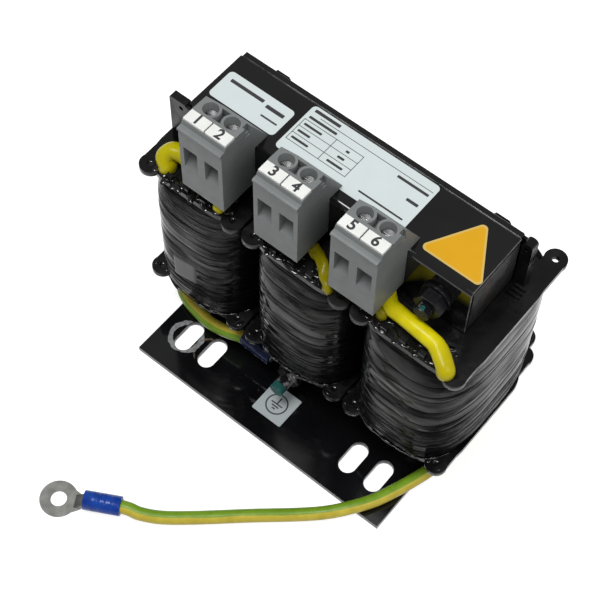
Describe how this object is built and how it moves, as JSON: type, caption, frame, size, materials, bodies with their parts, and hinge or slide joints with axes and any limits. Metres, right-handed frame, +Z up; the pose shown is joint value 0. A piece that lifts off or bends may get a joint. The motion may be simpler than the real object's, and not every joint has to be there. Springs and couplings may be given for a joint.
{
  "type": "line reactor",
  "caption": "Line reactor with a laminated core, varnished coils side by side, grey terminal blocks, slotted foot brackets and an earth lead that ends in a ring lug.",
  "frame": {"origin": "on the floor plane under the foot brackets, at the middle of the core", "axes": "+X along the row of coils, +Z up, the terminal blocks face -Y"},
  "size_m": [0.1211, 0.1524, 0.1153],
  "materials": {
    "core_steel": "gloss black lacquer",
    "spacer_board": "matte",
    "lacquered_steel": "gloss black lacquer",
    "bobbin_plastic": "satin, varnish dipped",
    "coil_varnish": "gloss, dipped in black varnish",
    "block_plastic": "satin",
    "tag_plastic": "satin",
    "plated_steel": "satin",
    "lead_sleeving": "satin",
    "tinned_lug": "dull tin",
    "lug_sleeving": "gloss",
    "earth_insulation": "satin green with a yellow stripe"
  },
  "bodies": {
    "root": {"e_core": "core_steel", "top_yoke": "core_steel", "gap_spacers": "spacer_board", "foot_bracket_front": "lacquered_steel", "foot_bracket_rear": "lacquered_steel", "top_cover": "lacquered_steel", "clamp_strip_rear": "lacquered_steel", "bobbin_left": "bobbin_plastic", "bobbin_middle": "bobbin_plastic", "bobbin_right": "bobbin_plastic", "coil_left": "coil_varnish", "coil_middle": "coil_varnish", "coil_right": "coil_varnish", "terminal_block_1": "block_plastic", "terminal_block_2": "block_plastic", "terminal_block_3": "block_plastic", "marker_tags_1": "tag_plastic", "marker_tags_2": "tag_plastic", "marker_tags_3": "tag_plastic", "terminal_screws_1": "plated_steel", "terminal_screws_2": "plated_steel", "terminal_screws_3": "plated_steel", "clamp_cages_1": "plated_steel", "clamp_cages_2": "plated_steel", "clamp_cages_3": "plated_steel", "upper_bolts": "plated_steel", "upper_nuts": "plated_steel", "upper_washers": "plated_steel", "lower_bolts": "plated_steel", "lower_nuts": "plated_steel", "lower_washers": "plated_steel", "earth_stud": "plated_steel", "earth_nuts": "plated_steel", "earth_washers": "plated_steel", "start_lead_1": "lead_sleeving", "start_lead_2": "lead_sleeving", "start_lead_3": "lead_sleeving", "end_lead_1": "lead_sleeving", "end_lead_2": "lead_sleeving", "end_lead_3": "lead_sleeving", "earth_lug": "tinned_lug", "free_lug": "tinned_lug", "earth_lug_sleeve": "lug_sleeving", "free_lug_sleeve": "lug_sleeving", "earth_lead": "earth_insulation"}
  },
  "joints": []
}
